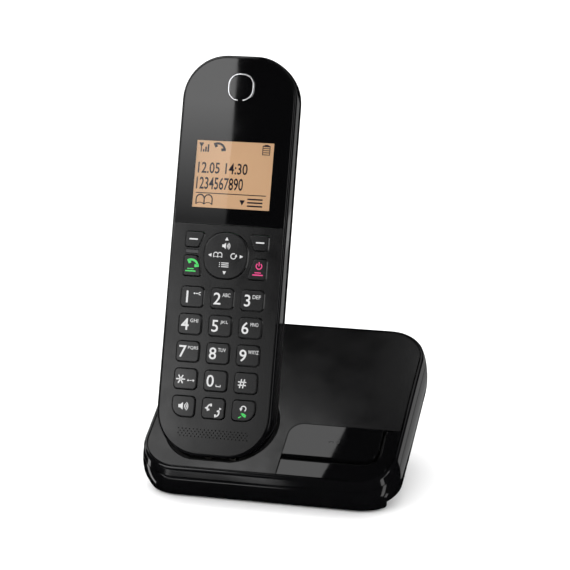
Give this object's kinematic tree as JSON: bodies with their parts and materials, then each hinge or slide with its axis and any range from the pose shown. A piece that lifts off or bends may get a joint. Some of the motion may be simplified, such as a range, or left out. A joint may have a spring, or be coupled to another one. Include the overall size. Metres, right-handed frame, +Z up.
{
  "type": "cordless phone with base",
  "caption": "Slim cordless handset with display, navigator and keypad, standing tilted back in a wedge-shaped charging base with a locator button.",
  "frame": {"origin": "on the table, under the middle of the whole object's outline", "axes": "+Z up; the keys and the locator button face the user at -Y; +X to the user's right"},
  "size_m": [0.1054, 0.0806, 0.1663],
  "materials": {
    "matte_case": "fine-textured matte black ABS",
    "gloss_case": "polished black ABS",
    "gloss_panel": "piano-black polished acrylic",
    "handset_case": "satin black ABS with a gloss edge band",
    "key_plastic": "satin dark grey keys with printed legends",
    "silver_trim": "bright silver plating",
    "display": "amber backlit display",
    "display_glass": "clear",
    "indicator_lens": "smoked translucent",
    "rubber": "soft black rubber",
    "contact_metal": "nickel-plated spring metal",
    "screw_steel": "zinc-plated",
    "circuit_board": "green solder mask",
    "battery_wrap": "printed shrink wrap",
    "component": "moulded black parts"
  },
  "bodies": {
    "base": {"base_upper_case": "matte_case", "base_lower_case": "gloss_case", "cradle_pocket": "matte_case", "base_gloss_panel": "gloss_panel", "locator_switch": "component", "base_circuit_board": "circuit_board", "dc_jack": "component", "line_jack": "component", "base_contact_left": "contact_metal", "base_contact_right": "contact_metal", "base_screw_left": "screw_steel", "base_screw_right": "screw_steel", "foot_front_left": "rubber", "foot_front_right": "rubber", "foot_rear_left": "rubber", "foot_rear_right": "rubber"},
    "handset": {"handset_front_case": "handset_case", "handset_rear_case": "handset_case", "window_panel": "gloss_panel", "earpiece_ring": "silver_trim", "lcd_glass": "display_glass", "lcd_backlight": "display", "charge_indicator": "indicator_lens", "keypad_mat": "rubber", "handset_circuit_board": "circuit_board", "battery_left": "battery_wrap", "battery_right": "battery_wrap", "battery_spring_left": "contact_metal", "battery_spring_right": "contact_metal", "battery_link": "contact_metal", "earpiece_speaker": "component", "ringer_speaker": "component", "microphone": "component", "handset_contact_left": "contact_metal", "handset_contact_right": "contact_metal"},
    "battery_cover": {"battery_cover": "handset_case"},
    "locator_button": {"locator_button": "gloss_panel"},
    "navigator_pivot": {"navigator_pivot": "component"},
    "navigator_key": {"navigator_key": "key_plastic"},
    "key_1": {"key_1": "key_plastic"},
    "key_2": {"key_2": "key_plastic"},
    "key_3": {"key_3": "key_plastic"},
    "key_4": {"key_4": "key_plastic"},
    "key_5": {"key_5": "key_plastic"},
    "key_6": {"key_6": "key_plastic"},
    "key_7": {"key_7": "key_plastic"},
    "key_8": {"key_8": "key_plastic"},
    "key_9": {"key_9": "key_plastic"},
    "key_star": {"key_star": "key_plastic"},
    "key_0": {"key_0": "key_plastic"},
    "key_hash": {"key_hash": "key_plastic"},
    "key_speaker": {"key_speaker": "key_plastic"},
    "key_intercom": {"key_intercom": "key_plastic"},
    "key_recall": {"key_recall": "key_plastic"},
    "soft_key_left": {"soft_key_left": "key_plastic"},
    "soft_key_right": {"soft_key_right": "key_plastic"},
    "talk_key": {"talk_key": "key_plastic"},
    "off_key": {"off_key": "key_plastic"}
  },
  "joints": [
    {"name": "handset_lift", "type": "slide", "parent": "base", "child": "handset", "axis": [0, 0.3494, 0.937], "range_m": [0, 0.08]},
    {"name": "battery_cover_lift", "type": "slide", "parent": "handset", "child": "battery_cover", "axis": [0, 0.937, -0.3494], "range_m": [0, 0.006]},
    {"name": "locator_press", "type": "slide", "parent": "base", "child": "locator_button", "axis": [0, 0.4226, -0.9063], "range_m": [0, 0.0008], "stiffness_N_per_m": 500},
    {"name": "navigator_tilt_up_down", "type": "hinge", "parent": "handset", "child": "navigator_pivot", "pos_m": [-0.0219, -0.00494, 0.09093], "axis": [1, 0, 0], "range_deg": [-2, 2], "stiffness_Nm_per_rad": 0.05},
    {"name": "navigator_tilt_left_right", "type": "hinge", "parent": "navigator_pivot", "child": "navigator_key", "pos_m": [-0.0219, -0.00494, 0.09093], "axis": [0, 0.3494, 0.937], "range_deg": [-2, 2], "stiffness_Nm_per_rad": 0.05},
    {"name": "key_1_press", "type": "slide", "parent": "handset", "child": "key_1", "axis": [0, 0.937, -0.3494], "range_m": [0, 0.0008], "stiffness_N_per_m": 600},
    {"name": "key_2_press", "type": "slide", "parent": "handset", "child": "key_2", "axis": [0, 0.937, -0.3494], "range_m": [0, 0.0008], "stiffness_N_per_m": 600},
    {"name": "key_3_press", "type": "slide", "parent": "handset", "child": "key_3", "axis": [0, 0.937, -0.3494], "range_m": [0, 0.0008], "stiffness_N_per_m": 600},
    {"name": "key_4_press", "type": "slide", "parent": "handset", "child": "key_4", "axis": [0, 0.937, -0.3494], "range_m": [0, 0.0008], "stiffness_N_per_m": 600},
    {"name": "key_5_press", "type": "slide", "parent": "handset", "child": "key_5", "axis": [0, 0.937, -0.3494], "range_m": [0, 0.0008], "stiffness_N_per_m": 600},
    {"name": "key_6_press", "type": "slide", "parent": "handset", "child": "key_6", "axis": [0, 0.937, -0.3494], "range_m": [0, 0.0008], "stiffness_N_per_m": 600},
    {"name": "key_7_press", "type": "slide", "parent": "handset", "child": "key_7", "axis": [0, 0.937, -0.3494], "range_m": [0, 0.0008], "stiffness_N_per_m": 600},
    {"name": "key_8_press", "type": "slide", "parent": "handset", "child": "key_8", "axis": [0, 0.937, -0.3494], "range_m": [0, 0.0008], "stiffness_N_per_m": 600},
    {"name": "key_9_press", "type": "slide", "parent": "handset", "child": "key_9", "axis": [0, 0.937, -0.3494], "range_m": [0, 0.0008], "stiffness_N_per_m": 600},
    {"name": "key_star_press", "type": "slide", "parent": "handset", "child": "key_star", "axis": [0, 0.937, -0.3494], "range_m": [0, 0.0008], "stiffness_N_per_m": 600},
    {"name": "key_0_press", "type": "slide", "parent": "handset", "child": "key_0", "axis": [0, 0.937, -0.3494], "range_m": [0, 0.0008], "stiffness_N_per_m": 600},
    {"name": "key_hash_press", "type": "slide", "parent": "handset", "child": "key_hash", "axis": [0, 0.937, -0.3494], "range_m": [0, 0.0008], "stiffness_N_per_m": 600},
    {"name": "key_speaker_press", "type": "slide", "parent": "handset", "child": "key_speaker", "axis": [0, 0.937, -0.3494], "range_m": [0, 0.0008], "stiffness_N_per_m": 600},
    {"name": "key_intercom_press", "type": "slide", "parent": "handset", "child": "key_intercom", "axis": [0, 0.937, -0.3494], "range_m": [0, 0.0008], "stiffness_N_per_m": 600},
    {"name": "key_recall_press", "type": "slide", "parent": "handset", "child": "key_recall", "axis": [0, 0.937, -0.3494], "range_m": [0, 0.0008], "stiffness_N_per_m": 600},
    {"name": "soft_key_left_press", "type": "slide", "parent": "handset", "child": "soft_key_left", "axis": [0, 0.937, -0.3494], "range_m": [0, 0.0008], "stiffness_N_per_m": 600},
    {"name": "soft_key_right_press", "type": "slide", "parent": "handset", "child": "soft_key_right", "axis": [0, 0.937, -0.3494], "range_m": [0, 0.0008], "stiffness_N_per_m": 600},
    {"name": "talk_key_press", "type": "slide", "parent": "handset", "child": "talk_key", "axis": [0, 0.937, -0.3494], "range_m": [0, 0.0008], "stiffness_N_per_m": 600},
    {"name": "off_key_press", "type": "slide", "parent": "handset", "child": "off_key", "axis": [0, 0.937, -0.3494], "range_m": [0, 0.0008], "stiffness_N_per_m": 600}
  ]
}
